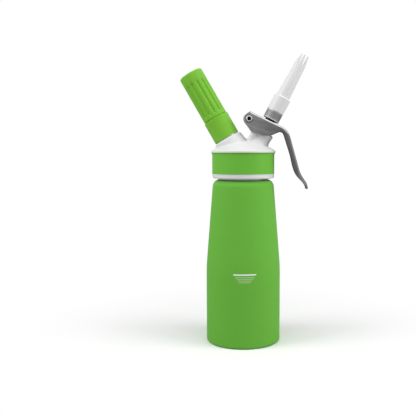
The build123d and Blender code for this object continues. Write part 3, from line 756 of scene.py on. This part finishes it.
def holder_ring(step):
    angle = 2 * pi * step / (flute_count * flute_columns)
    profile = [(0, bay_top)] + quarter(bay_radius, 0, bay_top - bay_radius)[-2::-1]
    profile += [
        (bay_radius, insert_top),
        (pocket_radius, insert_top),
        (pocket_radius, holder_low),
        (sleeve_radius, holder_low),
        (sleeve_radius, sleeve_top - sleeve_round),
        (sleeve_radius - sleeve_round, sleeve_top),
        (grip_foot_radius - shadow_gap, sleeve_top),
        (grip_foot_radius - shadow_gap, sleeve_top + sleeve_round),
        (grip_foot_radius, sleeve_top + sleeve_round + shadow_gap),
    ]
    for row in range(flute_rows + 1):
        share = row / flute_rows
        height = flute_low + (flute_high - flute_low) * share
        radius = grip_foot_radius + (grip_end_radius - grip_foot_radius) * share
        profile.append((radius - flute_dip(angle, height), height))
    profile += quarter(end_round, grip_end_radius - end_round, grip_top - end_round)
    profile.append((0, grip_top))
    return [around(radius, angle, height) for radius, height in profile]


holder = skin(
    "fluted_holder", [holder_ring(step) for step in range(flute_count * flute_columns)],
    charger_axis, "holder", holder_green, loop=True, to_axis=True)
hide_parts("charger_holder")
print("holder", round(1000 * (grip_top - holder_low), 1), "mm long, with", flute_count, "flutes")

# %% [markdown]
# ## Valve spring
# The spring under the lever is wound steel wire whose end turns lie flat. A coil that shortens
# can't be moved as one solid, so this one gets a mesh of its own, riding the head.

# %% Coil
spring_low, spring_high, spring_reach = heights_of("valve_spring", valve_axis)
wire = 0.0006
spring_turns = 6.5
closed_turns = 0.8
coil_steps = 40
wire_sides = 10


def climb(turn):
    """The wire's height at a turn: flat end turns, and an even pitch between them."""
    span = spring_high - spring_low - 2 * wire
    flat = 2 * wire * closed_turns
    if turn < closed_turns:
        return 2 * wire * turn
    if turn > spring_turns - closed_turns:
        return span - 2 * wire * (spring_turns - turn)
    return flat + (span - 2 * flat) * (turn - closed_turns) / (spring_turns - 2 * closed_turns)


def coil_ring(step):
    turn = step / coil_steps
    angle, height = 2 * pi * turn, spring_low + wire + climb(turn)
    ring = []
    for side in range(wire_sides):
        bend = 2 * pi * side / wire_sides
        ring.append(around(spring_reach - wire + wire * cos(bend), angle, height + wire * sin(bend)))
    return ring


coil = skin(
    "valve_coil", [coil_ring(step) for step in range(int(spring_turns * coil_steps) + 1)],
    valve_axis, "head", valve_metal)
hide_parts("valve_spring")
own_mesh(coil)

# %% [markdown]
# ## Knurled adapter
# The ring that the tip screws onto has a diamond knurl for the fingers. Each ring of the sleeve is
# its half section, and every second point of the knurled stretch is pushed in, one step out of
# phase with the ring before, which leaves a row of small pyramids. Their valleys are painted
# darker than their crests, as painted shade.

# %% Adapter
adapter_low, adapter_high, adapter_radius = heights_of("nozzle_adapter", valve_axis)
tip_low = heights_of("decorator_tip", valve_axis)[0]
stem_top = heights_of("valve_stem", valve_axis)[1]
stem_sizes = half_section("valve_stem", valve_axis)
top_radii = [radius for radius, height in stem_sizes if height > stem_top - hair]
stem_outer, stem_inner = max(top_radii), min(top_radii)
adapter_sizes = half_section("nozzle_adapter", valve_axis)
tip_spigot = max(radius for radius, height in adapter_sizes if height > adapter_high - hair)
knurl_teeth = 22
knurl_rows = 6
knurl_depth = 0.0006
adapter_edge = 0.0007
plain_end = 0.0006  # the smooth rim between the knurl and the tip
knurl_low = adapter_low + adapter_edge
knurl_high = tip_low - plain_end


def adapter_ring(step):
    angle = pi * step / knurl_teeth
    profile = [(stem_outer, adapter_low), (adapter_radius - adapter_edge, adapter_low)]
    for row in range(knurl_rows + 1):
        inside = 0 < row < knurl_rows and (row + step) % 2
        radius = adapter_radius - (knurl_depth if inside else 0.0)
        profile.append((radius, knurl_low + (knurl_high - knurl_low) * row / knurl_rows))
    profile += [
        (adapter_radius, tip_low),
        (tip_spigot, tip_low),
        (tip_spigot, adapter_high),
        (stem_inner, adapter_high),
        (stem_inner, stem_top),
        (stem_outer, stem_top),
    ]
    return [around(radius, angle, height) for radius, height in profile]


adapter_metal = Finish("adapter_metal", Metallic=1.0)
spot, x, y, z = adapter_metal.place()
out = away_from(x, y, z, valve_axis.translation, valve_axis.to_3x3().col[2])
above_knurl = out < tip_spigot + hair
# Painted shade: the knurl's valleys are dark, and its crests and the plain rim above are light.
crest = out.rise(adapter_radius - knurl_depth, adapter_radius).maths("MAXIMUM", above_knurl)
adapter_metal.colour(adapter_metal.mix(crest, screen(66, 66, 67), screen(184, 184, 185)))
adapter_metal.roughness(0.56 + 0.1 * adapter_metal.noise(spot, 900.0))
adapter = skin(
    "knurled_adapter", [adapter_ring(step) for step in range(2 * knurl_teeth)],
    valve_axis, "valve", adapter_metal.material, loop=True)
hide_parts("nozzle_adapter")
print("adapter radius", round(1000 * adapter_radius, 2), "mm, knurled in", knurl_teeth, "columns")

# %% [markdown]
# ## Star tip
# The tip is a tube in a collar, and slots cut its mouth into a crown of teeth that gives the cream
# its ribs. Its half section is turned round too: on a tooth it climbs to the mouth, and in a slot
# it stops at the slot's floor. Where a tooth ends, both sections share one angle, and the skin
# between them is the tooth's side. The slots are a little wider at the floor than the solid's.

# %% Tip
tip_top, collar_reach = heights_of("decorator_tip", valve_axis)[1:]
tip_sizes = half_section("decorator_tip", valve_axis)
tip_bore = min(radius for radius, height in tip_sizes if height < tip_low + hair)
collar_foot = max(radius for radius, height in tip_sizes if height < tip_low + hair)
collar_top = max(height for radius, height in tip_sizes if radius > collar_reach - hair)
mouth_radius = max(radius for radius, height in tip_sizes if height > tip_top - hair)
tube_radius = 0.00745
slot_foot_radius = 0.00615
shoulder = 0.0016
tube_wall = 0.0010
mouth_wall = 0.0007
inner_step = 0.0025  # from the top of the collar down
slot_length = 0.0107
slot_foot = 0.0017
slot_mouth = 0.0031
tooth_count = 6
tooth_columns = 10
tooth_start = radians(-90)


def tip_ring(tooth, across, cut):
    """A section at a place across a tooth, from -1 to 1. With cut it stops at the slot's floor."""
    spacing = 2 * pi / tooth_count
    centre = tooth_start + tooth * spacing
    at_foot = centre + across * (spacing - slot_foot / slot_foot_radius) / 2
    at_mouth = centre + across * (spacing - slot_mouth / mouth_radius) / 2
    slot_floor = tip_top - slot_length
    floor_outer = around(slot_foot_radius, at_foot, slot_floor)
    floor_inner = around(slot_foot_radius - tube_wall, at_foot, slot_floor)
    mouth_outer = around(mouth_radius, at_mouth, tip_top)
    mouth_inner = around(mouth_radius - mouth_wall, at_mouth, tip_top)
    crown = [floor_outer, floor_inner] if cut else [mouth_outer, mouth_inner]
    outside = (
        (tip_bore, tip_low),
        (collar_foot, tip_low),
        (collar_reach, collar_top),
        (tube_radius, collar_top + shoulder),
    )
    inside = (
        (tube_radius - tube_wall, collar_top),
        (tube_radius - tube_wall, collar_top - inner_step),
        (tip_bore, collar_top - inner_step),
    )
    up = [around(radius, at_foot, height) for radius, height in outside]
    down = [around(radius, at_foot, height) for radius, height in inside]
    return up + [floor_outer] + crown + [floor_inner] + down


tip_rings = []
for tooth in range(tooth_count):
    tip_rings.append(tip_ring(tooth, -1, True))
    for column in range(tooth_columns + 1):
        tip_rings.append(tip_ring(tooth, 2 * column / tooth_columns - 1, False))
    tip_rings.append(tip_ring(tooth, 1, True))
tip = skin("star_tip", tip_rings, valve_axis, "tip", tip_plastic, loop=True)
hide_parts("decorator_tip")
print("tip", round(1000 * (tip_top - tip_low), 1), "mm long, with", tooth_count, "teeth")
